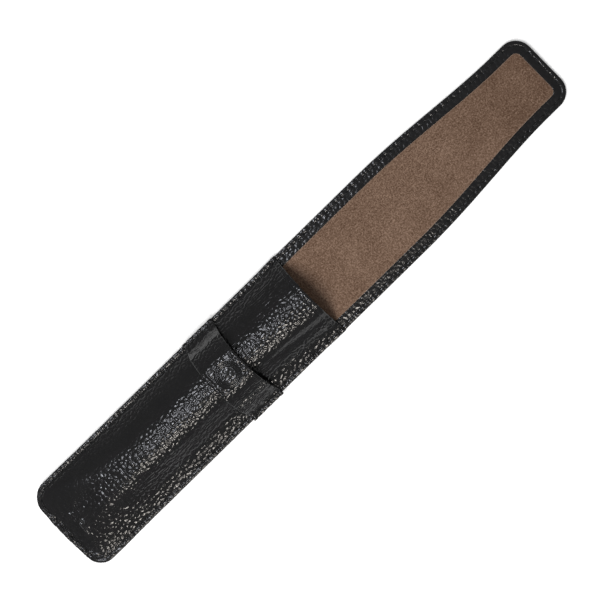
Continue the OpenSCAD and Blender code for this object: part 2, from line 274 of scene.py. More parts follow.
def add_object(name, data):
    o = bpy.data.objects.new(name, data)
    bpy.context.scene.collection.objects.link(o)
    return o


class Build:
    """Collects grids of points with a few values each, and the faces between them."""

    def __init__(self):
        self.v, self.f4, self.f3, self.sharp, self.n = [], [], [], [], 0
        self.at = {k: [] for k in FIELDS}

    def add(self, P, **at):
        for k, default in FIELDS.items():
            self.at[k].append(np.broadcast_to(at.get(k, default), P.shape[:-1]).ravel())
        idx = np.arange(self.n, self.n + P[..., 0].size).reshape(P.shape[:-1])
        self.v.append(P.reshape(-1, 3))
        self.n += idx.size
        return idx

    def quads(self, I, flip=False):
        """Faces over a grid of point numbers."""
        a, b, c, d = I[:-1, :-1], I[:-1, 1:], I[1:, 1:], I[1:, :-1]
        self.f4.append(np.stack([a, b, c, d] if flip else [a, d, c, b], -1).reshape(-1, 4))

    def bridge(self, dense, coarse, flip=False, cut=()):
        """Joins a closed loop of 4k points to one of k points. cut holds the stretches that are raw cuts."""
        d0, d1, d2, d3 = dense.reshape(-1, 4).T
        c, c2, d4 = coarse, np.roll(coarse, -1), np.roll(d0, -1)
        raw = np.zeros(len(c), bool)
        for lo, hi in cut:
            raw[lo:hi] = True
        for a, b, e in (c, d0, d1), (c, d1, d2), (c, d2, c2), (c2, d2, d3), (c2, d3, d4):
            self.f3.append(np.stack([a, e, b] if flip else [a, b, e], -1))
            self.sharp.append(raw)

    def values(self):
        return {k: np.concatenate(v) for k, v in self.at.items()}

    def verts(self):
        return np.concatenate(self.v)

    def face_up(self):
        """Keeps the normals of the faces so far. Points added later have none and stay where they are."""
        V = self.verts()
        N = np.zeros_like(V)
        for F in self.f4:
            n = np.cross(V[F[:, 2]] - V[F[:, 0]], V[F[:, 3]] - V[F[:, 1]])
            for k in range(4):
                np.add.at(N, F[:, k], n)
        self.N = unit(N)

    def obj(self, name, V, material, attrs):
        """The object, its points at V and attrs stored on them. From here on lengths are in metres."""
        me = bpy.data.meshes.new(name)
        q, t = np.concatenate(self.f4), np.concatenate(self.f3)
        me.from_pydata((V * 0.001).tolist(), [], q.tolist() + t.tolist())
        even = np.ones(len(q) + len(t), bool)
        if self.sharp:
            even[len(q):] = ~np.concatenate(self.sharp)
        me.polygons.foreach_set("use_smooth", even)
        for k, a in attrs.items():
            a = np.asarray(a, np.float32)
            if a.ndim == 1:
                me.attributes.new(k, "FLOAT", "POINT").data.foreach_set("value", a)
            else:
                me.attributes.new(k, "FLOAT_VECTOR", "POINT").data.foreach_set("vector", a.ravel())
        me.materials.append(material)
        return add_object(name, me)


def ratio4(n):
    """The next multiple of four, because a sheet's hidden side is four times coarser."""
    return 4 * math.ceil(n / 4)


# rings of a seam band, by inset: of the pocket, whose dome starts at the stitches, and of flat sheets
BAND = np.array([2.6, 2.52, 2.45, 2.38, 2.3, 2.22, 2.14, 2.0, 1.75, 1.4, 1.02, 0.68])
WIDE_BAND = np.array([3.5, 3.0, 2.65, 2.48, 2.38, 2.3, 2.22, 2.12, 1.9, 1.5, 1.05, 0.68])
ROLL = np.radians([30, 60, 90])     # steps over a rounded edge


def u_border(R, C):
    """Rows and columns round a grid: up its first column, along its first row and down its last column."""
    return (np.r_[np.arange(R, -1, -1), np.zeros(C, int), np.arange(1, R + 1)],
            np.r_[np.zeros(R + 1, int), np.arange(1, C + 1), np.full(R, C)])


class UPatch:
    """Plan of a sheet with one closed, round-cornered end: an inner grid, and rings that follow the outline.
    Distances d run from the closed end to the open one, u from -1 to 1 across. The grid is inset by e0."""

    def __init__(self, x_closed, x_open, half, r, step, cols, e0=SEAM, spread=None):
        self.sx = 1.0 if x_open > x_closed else -1.0
        self.x0, self.e0, self.half0, self.r0 = x_closed, e0, half, r
        length = abs(x_open - x_closed) - e0
        rmax = max(r) - e0
        d_arc = rmax * (1 - np.cos(np.linspace(0, math.pi / 2, 13)))
        n = ratio4((length - rmax) / step + 12) - 12
        self.d = np.r_[d_arc, rmax + (length - rmax) * np.arange(1, n + 1) / n]
        self.u = spread(ratio4(cols)) if spread else np.linspace(-1, 1, ratio4(cols) + 1)
        self.shrink = 0.0

    def coarse(self, shrink, extra=None):
        """The same plan with every fourth row and column, drawn in by shrink."""
        c = copy.copy(self)
        c.d, c.u, c.shrink = self.d[::4], self.u[::4], shrink
        if extra is not None:
            c.d = np.r_[c.d[:-2], extra]
        return c

    def corner(self, side):
        return max((self.r0[0] if side < 0 else self.r0[1]) - self.e0 - self.shrink, 0.3)

    def x(self, d):
        return self.x0 + self.sx * (self.e0 + self.shrink + d * (1 - self.shrink / self.d[-1]))

    def half(self, d):
        return self.half0(self.x(d)) - self.e0 - self.shrink

    def grid(self):
        """X, Y, d and u of the grid's points."""
        W = []
        for side in (-1, 1):
            r = self.corner(side)
            s = np.minimum(self.d, r)
            W.append(self.half(self.d) - r + np.sqrt(np.maximum(r * r - (r - s) ** 2, 0)))
        u = self.u[None, :]
        Y = np.where(u < 0, u * W[0][:, None], u * W[1][:, None])
        D = np.broadcast_to(self.d[:, None], Y.shape)
        return self.x(D), Y, D, np.broadcast_to(u, Y.shape)

    def path(self):
        """The grid's border in order: row and column numbers, and outward normals in X and Y."""
        R, C = len(self.d) - 1, len(self.u) - 1
        rows, cols = u_border(R, C)
        N = np.tile([-1.0, 0.0], (len(rows), 1))
        for side, sl in ((-1, slice(0, R + 1)), (1, slice(R + C, None))):
            dd, r = self.d[rows[sl]], self.corner(side)
            k = np.clip((r - dd) / r, 0, 1)
            slope = (self.half(dd + 0.05) - self.half(dd - 0.05)) / 0.1
            nd, ny = np.where(dd < r, -k, -slope), np.where(dd < r, np.sqrt(1 - k * k), 1.0)
            N[sl, 0], N[sl, 1] = nd / np.hypot(nd, ny), side * ny / np.hypot(nd, ny)
        N[:, 0] *= self.sx
        return rows, cols, N


def rim_loop(I, B):
    """The rim of a U patch in order: the outer ring, then the open edge back to its start."""
    return np.r_[B[:, -1], B[-1, 1:-1][::-1], I[-1, ::-1], B[0, 1:-1]]


def cut_line(e):
    """How much of the cut edge shows at inset e."""
    return smooth(0.4, 0.05, e)


def open_end(half, e0, cols, band=WIDE_BAND, er=EDGE_R):
    """Stations across a U patch's open end, for the sheet that carries on from it."""
    side = half - np.r_[(e0 + band[0]) / 2, band, er * (1 - np.sin(ROLL))]
    return np.r_[-side[::-1], np.linspace(e0 - half, half - e0, cols + 1), side]


def arc_len(P):
    """Length along each row of points, counted from the middle column."""
    S = np.cumsum(np.linalg.norm(np.diff(P, axis=1, prepend=P[:, :1]), axis=2), 1)
    return S - S[:, [P.shape[1] // 2]]


def dressed_face(up, inner, rim, thick, band, er, wall):
    """The dressed side of a U plate: its grid, and the rings from there over the rounded edge."""
    X, Y, D, U = up.grid()
    rows, cols, N = up.path()
    P = inner(X, Y, U, D, 0.0)
    T = arc_len(P)
    line = X[rows, cols], Y[rows, cols]
    off = np.r_[up.e0 - band, up.e0 - er * (1 - np.sin(ROLL)), up.e0]
    x, y = outward(*line, N, off)
    k = np.tile(np.r_[0 * band, er * (1 - np.cos(ROLL)), thick], (len(x), 1))
    if wall is not None:
        k[:, -1] = wall(x[:, -1])
    s, t = outward(line[0], T[rows, cols], N, off + np.r_[0 * band, 0.05, 0.15, 0.4, 1.0])
    seam = np.stack(line, 1) + N * (up.e0 - STITCH)
    e = np.broadcast_to(np.r_[band, er * (1 - np.sin(ROLL)), 0], x.shape)
    w = np.broadcast_to(np.r_[0 * band + 1, 0.6 + 0.4 * np.cos(ROLL), 0], x.shape)
    run = (lengths(*seam.T) + abs(seam[0, 0]))[:, None]
    return dict(P=P, s=X, t=T, w=np.ones(X.shape)), dict(P=rim(x, y, k), s=s, t=t, w=w, e=e, run=run)


def roll_under(grid, rings, turn):
    """Turns the open edge of a dressed face under, round a half circle of radius turn."""
    angles = np.radians([45, 90, 135, 180])
    more = angles * turn

    def over(last, prev, n):
        t = unit(last - prev)
        return np.stack([last + t * turn * math.sin(q) - n * turn * (1 - math.cos(q)) for q in angles])

    P, B = grid["P"], rings["P"]
    n = unit(np.cross(P[-1] - P[-2], np.gradient(P[-1], axis=0)))
    upright = np.array([0, 0, 1.0])
    feet = B[0, -1, 2], B[-1, -1, 2]
    B = np.r_[over(B[0], B[1], upright)[::-1], B, over(B[-1], B[-2], upright)]
    for turned, foot in zip((slice(0, 4), slice(-4, None)), feet):
        B[turned, -1] = B[turned, -2]
        B[turned, -1, 2] = np.minimum(foot, B[turned, -2, 2])
    grid.update(P=np.r_[P, over(P[-1], P[-2], n * np.sign(n[:, 2:3]))],
                s=np.r_[grid["s"], grid["s"][-1:] + more[:, None]],
                t=np.r_[grid["t"], np.repeat(grid["t"][-1:], 4, 0)],
                w=np.r_[grid["w"], np.repeat([[1.0], [0.8], [0.4], [0.0]], P.shape[1], 1)])
    rings["P"] = B
    for name in ("s", "t", "w", "e", "run"):
        A, d = rings[name], more if name == "s" else 0 * more
        rings[name] = np.r_[A[:1] + d[::-1, None], A, A[-1:] + d[:, None]]


def add_underside(b, up, inner, rim, thick, shrink, wall, turn, flip):
    """The hidden side of a U plate. Gives the loop of its rim, and where the open edge starts in it."""
    c = up.coarse(shrink, up.d[-1] - np.array([4.0, 2.2, 0.3]) if turn else None)
    X, Y, D, U = c.grid()
    rows, cols, N = c.path()
    off = (up.e0 + shrink) * (1 - np.array([0.7, 0.5, 0.3, 0.12]))
    x, y = outward(X[rows, cols], Y[rows, cols], N, off)
    k = np.full(x.shape, thick) if wall is None else wall(x)
    I = b.add(inner(X, Y, U, D, thick), s=X, t=Y, w=0)
    B = b.add(rim(x, y, k), s=x, t=y, w=0)
    B = np.c_[I[rows, cols], B]
    b.quads(I, not flip)
    b.quads(B, not flip)
    return rim_loop(I, B), len(B) - 1


def u_plate(up, inner, rim, thick, face=1, band=WIDE_BAND, er=EDGE_R, turn=0.0, shrink=0.0, wall=None):
    """A closed sheet on a U patch. inner(X, Y, U, D, k) and rim(X, Y, k) give points k below its dressed
    face. Its open edge is a raw cut, or is turned under with the radius turn."""
    b = Build()
    flip = (up.sx < 0) != (face < 0)
    if not turn:
        up.d[-2] = up.d[-1] - CUT_ROW
    grid, rings = dressed_face(up, inner, rim, thick, band, er, wall)
    if turn:
        roll_under(grid, rings, turn)
    I = b.add(**grid)
    B = b.add(**rings, wear=cut_line(rings["e"]))
    B = np.c_[I[u_border(I.shape[0] - 1, I.shape[1] - 1)], B]
    b.quads(I, flip)
    b.quads(B, flip)
    b.face_up()
    hidden, open_edge = add_underside(b, up, inner, rim, thick, shrink, wall, turn, flip)
    b.bridge(rim_loop(I, B), hidden, flip, [] if turn else [(open_edge, len(hidden))])
    return b


def border(I):
    """All four sides of a grid as one closed loop."""
    return np.r_[I[0, :-1], I[:-1, -1], I[-1, :0:-1], I[:0:-1, 0]]


def edge_steps(lo, hi, step, roll=(True, True), er=EDGE_R, more=()):
    """Stations from lo to hi in a multiple of four steps, closer together on rounded edges."""
    a = er * (1 - np.cos(ROLL))
    first = lo + (a if roll[0] else CUT_ROW)
    last = hi - (a[::-1] if roll[1] else CUT_ROW)
    knots = np.unique(np.round(np.r_[lo, first, more, last, hi], 4))
    gaps = np.diff(knots)
    count = np.maximum(np.round(gaps / step), 1).astype(int)
    count[gaps.argmax()] += -count.sum() % 4
    return np.r_[(lo, *(k + g * np.arange(1, c + 1) / c for k, g, c in zip(knots, gaps, count)))]


CUT_ENDS = (False, False, True, True)


def slab(A, B, top, thick, face=1, er=EDGE_R, roll=(True, True, True, True), values=None):
    """A closed sheet over a grid of A by B. top(A, B) gives its dressed face. Edges in roll are rounded,
    the others are flat cuts, in the order A's start, A's end, B's start, B's end."""
    b = Build()
    AA, BB = np.meshgrid(A, B, indexing="ij")
    P = top(AA, BB)
    n = unit(np.cross(np.gradient(P, A, axis=0), np.gradient(P, B, axis=1))) * face
    far = 99.0      # stands in for the distance to an edge that isn't rounded
    qa = np.minimum(AA - A[0] if roll[0] else far, A[-1] - AA if roll[1] else far)
    qb = np.minimum(BB - B[0] if roll[2] else far, B[-1] - BB if roll[3] else far)
    lean = np.maximum(er - qa, 0) ** 2 + np.maximum(er - qb, 0) ** 2
    drop = er - np.sqrt(np.maximum(er * er - lean, 0))
    v = dict(s=AA, t=BB, w=1 - 0.4 * np.clip(drop / er, 0, 1), wear=smooth(0.1, 0.7, drop / er))
    v.update(values(AA, BB) if values else {})
    I = b.add(P - n * drop[..., None], **v)
    b.quads(I, face < 0)
    b.face_up()
    Ic = b.add((P - n * thick)[::4, ::4], s=AA[::4, ::4], t=BB[::4, ::4], w=0)
    b.quads(Ic, face > 0)
    R, C = Ic.shape[0] - 1, Ic.shape[1] - 1
    sides = [(0, C), (R + C, R + 2 * C), (R + 2 * C, 2 * (R + C)), (C, R + C)]
    b.bridge(border(I), border(Ic), face < 0, [s for s, r in zip(sides, roll) if not r])
    return b


def dress(b, name, material, amp, relief=None, body=POUCH, soft=False, pull=None):
    """Raises the grain, or the nap of a soft sheet, and other relief along the normals, and makes the object.
    relief(v) gives a height in mm, and a mask for the grain. pull(x, y) says where the hide is pulled."""
    V, v = b.verts(), b.values()
    N = np.r_[b.N, np.zeros((len(V) - len(b.N), 3))]
    v.update(x=V[:, 0], y=V[:, 1])
    strain = pull(v["x"], v["y"]) if pull else 0.0
    g = 0.5 + fbm(v["s"] / 0.9, v["t"] / 0.9, 70) if soft else pebble(v["s"], v["t"], strain)
    h = amp * (g - 0.6) * np.clip(v["w"], 0, 1) * (1 + 0.7 * np.abs(strain) + 0.6 * (strain > 0.9))
    if relief is not None:
        dh, mask = relief(v)
        h = h * mask + dh * np.clip(v["w"] * 4, 0, 1)
        g = 0.6 + (g - 0.6) * mask
    attrs = {"flat": points(v["s"], v["t"], 0 * v["s"]) * 0.001,
             "grain": np.where(v["w"] > 0, g, 0.5), "wear": v["wear"]}
    o = b.obj(name + "_dressed", V + N * h[:, None], material, attrs)
    finish(o, name, body)


def finish(o, name, body):
    """Hangs an object on one body, or bakes the place of one that spans two bodies into its points, and hides
    its CAD solid.
    """
    if len(body) == 1:
        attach(o, body[0])
    else:
        lo, hi = body[2:]
        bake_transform(o)
    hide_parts(name)


# ------------ seams and stitches
def const(value):
    return lambda x: np.full(np.shape(x), value, float)


def stitch_path(x_closed, half, r):
    """The line of a seam from x = 0 round the closed end and back: X, Y and length."""
    up = UPatch(x_closed, 0.0, half, r, 0.5, 8, e0=STITCH)
    X, Y, _, _ = up.grid()
    rows, cols, _ = up.path()
    x, y = X[rows, cols], Y[rows, cols]
    return x, y, lengths(x, y)


def pitch_near(line, pitch):
    """The pitch nearest to the given one that divides a seam into whole stitches."""
    return line[-1][-1] / round(line[-1][-1] / pitch)


POUCH_R = (R_RIGHT, R_LEFT)
POUCH_LINE = stitch_path(-PL, const(HW), POUCH_R)
FLAP_LINE = stitch_path(FLEN, flap_half, (TIPR, TIPR))
POUCH_PITCH = pitch_near(POUCH_LINE, 3.15)
FLAP_PITCH = pitch_near(FLAP_LINE, 3.5)
MOUTH_PITCH = 3.15


def groove(e, s, pitch):
    """A seam's relief, mm: a padded edge that puckers, the sunk line of stitches and its needle holes."""
    k = (s / pitch - np.round(s / pitch)) * pitch
    h = -0.2 * bell(e - STITCH, 0.2) + 0.08 * bell(e - 1.15, 0.6)
    h -= 0.10 * bell(k, 0.55) * bell(e - 1.5, 0.8)
    return h - 0.2 * bell(k, 0.4) * bell(e - STITCH, 0.28)


def edge_groove(pitch):
    """The same for dress, on a sheet that knows its inset e and the seam's run."""
    return lambda v: (np.where(v["e"] < 5, groove(v["e"], v["run"], pitch), 0.0), 1.0)


def thread_tubes(P, T, U, length, sink, r):
    """Centres and rings of points of one curved capsule of three-ply thread for each stitch."""
    S = np.cross(U, T)
    tau = np.sin(np.linspace(-math.pi / 2, math.pi / 2, 15))
    phi = np.linspace(0, 2 * math.pi, 11)[:-1]
    lift = 0.06 * (1 - tau ** 2) - sink - 0.45 * np.abs(tau) ** 7
    C = P[:, None] + T[:, None] * (tau * length / 2)[None, :, None] + U[:, None] * lift[None, :, None]
    ply = 1 + 0.10 * np.cos(3 * (phi[None] + 1.2 * tau[:, None] * length / r / 2))
    rr = (r * np.sqrt(np.maximum(1 - tau ** 12, 0.0036)))[:, None] * ply
    V = (C[:, :, None] + U[:, None, None] * (rr * np.sin(phi))[None, ..., None] * 0.8
         + S[:, None, None] * (rr * np.cos(phi))[None, ..., None])
    return C, V


def stitch_mesh(name, P, T, U, pitch, body=POUCH, sink=0.16, r=THREAD_R):
    """A row of stitches. P, T and U are their centres, directions and normals, sink how deep they lie."""
    T = unit(T)
    U = unit(U - T * (T * U).sum(-1, keepdims=True))
    C, V = thread_tubes(P, T, U, pitch - STITCH_GAP, sink, r)
    b = Build()
    I = b.add(V, s=P[:, None, None, 0], t=P[:, None, None, 1])
    W = np.concatenate([I, I[:, :, :1]], 2)
    around = W[:, :-1, :-1], W[:, :-1, 1:], W[:, 1:, 1:], W[:, 1:, :-1]
    b.f4.append(np.stack(around, -1).reshape(-1, 4))
    ends = b.add(C[:, [0, -1]])
    for row, tip, turn in ((I[:, 0], ends[:, 0], False), (I[:, -1], ends[:, 1], True)):
        after = np.roll(row, -1, axis=1)
        tip = np.broadcast_to(tip[:, None], row.shape)
        b.f3.append(np.stack([tip, row, after] if turn else [tip, after, row], -1).reshape(-1, 3))
    finish(b.obj(name + "_dressed", b.verts(), THREAD, {}), name, body)


def along(line, pitch, z, up, keep):
    """Centres, directions and normals of a seam's stitches, where keep(x) holds. z is a height or gives one
    for Y, and up is 1 on the upper face and -1 on the lower."""
    X, Y, run = line
    at = (np.arange(round(run[-1] / pitch)) + 0.5) * pitch
    at = at[keep(np.interp(at, run, X))]
    place = lambda q: at_length(q, run, X, Y, 0 * X)
    P = place(at)
    P[:, 2] = z(P[:, 1]) if callable(z) else z
    return P, place(at + 0.8) - place(at - 0.8), np.tile([0.0, 0.0, up], (len(P), 1))


def join(*parts):
    return tuple(np.concatenate(p) for p in zip(*parts))


# ------------ materials
def put(t, socket, v):
    """Sets an input to a plain value, or links a socket to it."""
    if isinstance(v, bpy.types.NodeSocket):
        t.links.new(v, socket)
    else:
        socket.default_value = v


def feed(t, n, **inputs):
    """Puts values or sockets in a node's inputs, whose names have _ for a space."""
    for k, v in inputs.items():
        put(t, n.inputs[k.replace("_", " ")], v)


def node(t, kind, **kw):
    """A shader node. Names with a capital are its inputs, as for feed, and the others its settings."""
    n = t.nodes.new("ShaderNode" + kind)
    for k in [k for k in kw if k[0].islower()]:
        setattr(n, k, kw.pop(k))
    feed(t, n, **kw)
    return n


def new_mat(name, **plain):
    """A material with one principled shader."""
    m = bpy.data.materials.new(name)
    m.use_nodes = True
    t = m.node_tree
    t.nodes.clear()
    b = node(t, "BsdfPrincipled", **plain)
    node(t, "OutputMaterial", Surface=b.outputs[0])
    return m, t, b


def noise_tex(t, vector, scale, detail, rough=0.5, twist=0.0, out="Fac"):
    n = node(t, "TexNoise", Vector=vector, Scale=scale, Detail=detail, Roughness=rough, Distortion=twist)
    return n.outputs[out]


def stored(t, name):
    """An attribute of the mesh: flat is a place, the others are single values."""
    return node(t, "Attribute", attribute_name=name).outputs["Vector" if name == "flat" else "Fac"]


def ramp(t, fac, *stops):
    n = node(t, "ValToRGB", Fac=fac)
    e = n.color_ramp.elements
    while len(e) < len(stops):
        e.new(0.5)
    for element, (place, colour) in zip(e, stops):
        element.position, element.color = place, (*colour, 1)
    return n.outputs[0]


def mth(t, op, *values, kind="Math"):
    n = node(t, kind, operation=op)
    for socket, v in zip(n.inputs, values):
        put(t, socket, v)
    return n.outputs[0]


def weigh(t, *terms, plus=0.0, clamp=False):
    """The sum of sockets, each times its weight, and plus. Clamped, it stays from 0 to 1."""
    total = plus
    for socket, weight in terms:
        total = mth(t, "MULTIPLY_ADD", socket, weight, total)
    total.node.use_clamp = clamp
    return total


def bump(t, b, height, strength, distance):
    feed(t, b, Normal=node(t, "Bump", Strength=strength, Distance=distance, Height=height).outputs[0])


def leather_mat(name, low, high):
    """Black pebbled hide. It reads the stored flat place, the grain's relief, and wear, 1 on cut edges."""
    m, t, b = new_mat(name, Specular_IOR_Level=0.42)
    flat, grain, wear = (stored(t, k) for k in ("flat", "grain", "wear"))
    tan, pore = noise_tex(t, flat, 90.0, 4.0, 0.6), noise_tex(t, flat, 5200.0, 3.0, 0.7)
    drift = noise_tex(t, flat, 900.0, 2.0, out="Color")
    place = mth(t, "MULTIPLY_ADD", drift, (0.0006, 0.0006, 0), flat, kind="VectorMath")
    fine = node(t, "TexVoronoi", Vector=place, feature="DISTANCE_TO_EDGE", Scale=1500.0)
    wrinkle = weigh(t, (fine.outputs["Distance"], 5.0), clamp=True)
    # darker in the grain's creases, which is painted shade, and on the cut edges, whose edge paint is matt
    tone = weigh(t, (grain, 0.7), (tan, 0.45), clamp=True)
    tone = weigh(t, (wear, -0.6), plus=tone, clamp=True)
    rough = weigh(t, (grain, -0.16), (tan, 0.12), (pore, 0.12), plus=0.15, clamp=True)
    rough = weigh(t, (wear, 0.4), plus=rough, clamp=True)
    feed(t, b, Base_Color=ramp(t, tone, (0.1, low), (1.0, high)), Roughness=rough)
    bump(t, b, weigh(t, (wrinkle, 0.6), (pore, 0.5)), 0.1, 0.00012)
    return m


def suede_mat(name, dark, mid, light, edge):
    """Brushed suede: a short nap in soft clumps, darker towards the flap's tip. edge colours its cuts."""
    m, t, b = new_mat(name, Roughness=0.95, Specular_IOR_Level=0.12, Sheen_Weight=0.2, Sheen_Roughness=0.5,
                      Sheen_Tint=(0.9, 0.72, 0.58, 1))
    flat = stored(t, "flat")
    fibre, nap, clump, patch = (noise_tex(t, flat, scale, detail, 0.6, 0.5) for scale, detail in
                                ((3200.0, 3.0), (1300.0, 3.0), (380.0, 2.0), (60.0, 3.0)))
    # the suede's colour grows darker towards the flap's tip
    toward_tip = weigh(t, (node(t, "SeparateXYZ", Vector=flat).outputs["X"], 1.0), plus=-0.09, clamp=True)
    tone = weigh(t, (fibre, 0.34), (nap, 0.48), (clump, 0.08), (patch, 0.10), (toward_tip, -0.55))
    mix = node(t, "Mix", data_type="RGBA", Factor=stored(t, "wear"))
    put(t, mix.inputs[6], ramp(t, tone, (0.42, dark), (0.5, mid), (0.58, light)))
    put(t, mix.inputs[7], (*edge, 1))
    feed(t, b, Base_Color=mix.outputs[2])
    bump(t, b, weigh(t, (fibre, 0.5), (nap, 1.0)), 0.7, 0.00035)
    return m


def plain_mat(name, scale, detail, dark, light, **plain):
    """A material with small flecks between two colours, and the flecks."""
    m, t, b = new_mat(name, **plain)
    fleck = noise_tex(t, node(t, "TexCoord").outputs["Object"], scale, detail)
    feed(t, b, Base_Color=ramp(t, fleck, (0.3, dark), (0.7, light)))
    return m, t, b, fleck


LEATHER = leather_mat("leather_black", (0.0035, 0.0035, 0.0038), (0.0115, 0.0112, 0.0118))
SUEDE = suede_mat("suede_brown", (0.10, 0.055, 0.034), (0.19, 0.117, 0.079), (0.31, 0.205, 0.147),
                  (0.28, 0.2, 0.155))
# a darker copy of the flap's suede, painted shade, for the linings inside the pouch; their near-black cut
# edges are edge paint and painted shade in the slit where they sit back inside the hides
SUEDE_SHADED = suede_mat("suede_brown_shaded_inside", (0.095, 0.056, 0.038), (0.165, 0.105, 0.075), (0.24, 0.165, 0.12),
                     (0.02, 0.016, 0.014))
THREAD, *shader = plain_mat("thread_black", 6000.0, 2.0, (0.005, 0.005, 0.006), (0.015, 0.015, 0.016),
                            Roughness=0.55, Specular_IOR_Level=0.35)
bump(*shader, 0.4, 0.00006)
BOARD = plain_mat("stiffener_board", 1400.0, 4.0, (0.27, 0.2, 0.13), (0.4, 0.31, 0.21), Roughness=0.85)[0]


# ------------ pouch
def even_arc(C):
    """Columns evenly spaced along the pocket's section, as fractions of its half width."""
    y = np.linspace(-FOOT, FOOT, 4001)
    s = lengths(y, RISE * pocket(y, 0.0))
    return np.interp(np.linspace(0, s[-1], C + 1), s, y / FOOT)


def mouth_dip(x, y):
    """How far the mouth draws the hide towards the bottom."""
    return DIP * (1 - (y / HW) ** 2) * smooth(-DIP_LEN, 0, x)


def drawn(x, y):
    """The pouch's real outline against its straight one: a bowed bottom edge and a mouth a little wider."""
    x = x - mouth_dip(x, y) + 0.8 * (y / 18) ** 2 * smooth(-146, -PL, x)
    return x, y * (1 + 0.013 * smooth(-14, -2, x) + 0.008 * bell(x + 146, 9))


def dents(x, y):
    """The pocket's unevenness, mm: a valley to the mouth's -Y corner with a ridge beside it, a faint pull
    towards the +Y corner, and slow waves."""
    near = smooth(-46, -26, x)
    z = -0.7 * bell(y + 8.6 + 0.13 * (x + 40), 2.0) * near
    z += 0.3 * bell(y + 14.5 + 0.10 * (x + 40), 2.2) * near
    z += 0.22 * bell(y - 10.5 - 0.11 * (x + 26), 0.9) * smooth(-34, -20, x)
    return z + 0.45 * fbm(x / 24.0, y / 12.0, 40, 2) * smooth(21, 14, np.abs(y))


def hump(length, across, y):
    """The dome where its bottom slope meets its flanks: slack on -Y, and steeper on +Y."""
    slack = length * across
    floor = np.maximum(np.minimum(length, across), 1e-4)
    firm = floor * (1 + (floor / np.maximum(np.maximum(length, across), 1e-4)) ** 3) ** (-1 / 3)
    return slack + (firm - slack) * smooth(-4, 10, y)


def dome(x, y, u, d, k):
    """A point of the pocket's skin k below its dressed face."""
    h = (RISE + dents(x, y)) * hump(bottom_rise(d, y), pocket(u * FOOT, x), y)
    return points(*drawn(x, y), SEAM_Z - k + h)


def pouch_rim(x, y, k):
    """A point of the seam band k below its top."""
    return points(*drawn(x, y), SEAM_Z - k)


def pouch_flat(z, face):
    """A flat layer of the pouch whose dressed face is at z and looks up or down."""
    def at(x, y, *rest):
        still = np.minimum(x, -DIP_LEN)     # nothing is drawn where the mouth's dip would be
        xx, yy = drawn(still, y)
        return points(xx + x - still, yy, z - face * rest[-1])
    return at


def pocket_pull(x, y):
    """The pocket's hide is pulled along Y at the bottom, and along X on the -Y flank and at the mouth's +Y
    corner."""
    end = -0.9 * smooth(-142, -152, x) * smooth(21, 18, np.abs(y)) * smooth(-15, -6, y)
    flank = 0.6 * smooth(3.2, 1.5, np.abs(y + 10.6)) * smooth(-128, -112, x)
    plus = 0.7 * smooth(-34, -22, x) * between(6, 9, 18, 21, y)
    return end + flank + plus


def pocket_relief(v):
    """Seam, hem and needle holes of the front panel, and how much grain is left where it is stretched."""
    y = v["y"]
    x = v["x"] + mouth_dip(v["x"], y)
    h = edge_groove(POUCH_PITCH)(v)[0]
    h += -0.30 * bell(x + HEM, 0.34) + 0.10 * bell(x + 1.5, 1.0)
    strap_foot = (np.abs(x - K_NEAR + K_W / 2) < K_W / 2 - 0.5) & (v["e"] < 4.5)
    taut = between(5.5, 9, 19.5, 21.4, y) * (1 - 0.35 * smooth(-44, -30, x))
    firm = between(-15, -13.6, -8.6, -7, y) * smooth(-104, -90, x)
    slack = smooth(-142, -150, x) * between(-16, -8, 9, 15, y)
    return np.where(strap_foot, np.minimum(h, -0.12), h), 1 - 0.62 * taut - 0.65 * firm + 0.5 * slack


def front_panel():
    turn = 0.8          # radius of the hem's fold
    up = UPatch(-PL, -turn, const(HW), POUCH_R, 0.35, 164, e0=HW - FOOT, spread=even_arc)

    def wall(x):
        return FRONT + 0.4 * smooth(EDGE_FILL - 0.2, EDGE_FILL + 0.2, x)

    def inner(x, y, u, d, k):
        return dome(x, y, u, d, k + (0.35 * (x > -HEM - 1.2) if k else 0))

    b = u_plate(up, inner, pouch_rim, FRONT, band=BAND, turn=turn, shrink=0.6, wall=wall)
    dress(b, "front_panel", LEATHER, GRAIN, pocket_relief, pull=pocket_pull)


def lining_patch(x_open, half, cols, **kw):
    """Plan of a pouch lining, which ends 0.5 mm inside the hide."""
    return UPatch(-PL + 0.5, x_open, half, (R_RIGHT - 0.5, R_LEFT - 0.5), 0.9, cols, **kw)


def front_lining():
    gap = FRONT + 0.25      # under the pocket the lining hangs a little free of the hide

    def inner(x, y, u, d, k):
        return dome(x, y, u, d, gap + LIN - k)

    def rim(x, y, k):
        return pouch_rim(x, y, FRONT + LIN - k)

    up = lining_patch(EDGE_FILL, const(HW - 0.5), 72, spread=even_arc)
    b = u_plate(up, inner, rim, LIN, face=-1, er=0.2)
    dress(b, "front_lining", SUEDE_SHADED, NAP, soft=True)


def back_lining():
    def half(x):
        return HW - 0.5 - (HW - 0.5 - WINDOW) * smooth(EDGE_FILL - 1.5, EDGE_FILL, x)

    flat = pouch_flat(BACK + LIN, 1)
    b = u_plate(lining_patch(-4.0, half, 60), flat, flat, LIN, er=0.2)
    dress(b, "back_lining", SUEDE_SHADED, NAP, soft=True)


def back_panel():
    up = UPatch(-PL, FOLD_1[2], const(HW), POUCH_R, 0.45, 112)
    flat = pouch_flat(UNDER, -1)
    b = u_plate(up, flat, flat, BACK - UNDER, face=-1)
    dress(b, "back_panel", LEATHER, GRAIN * 0.8, edge_groove(POUCH_PITCH))


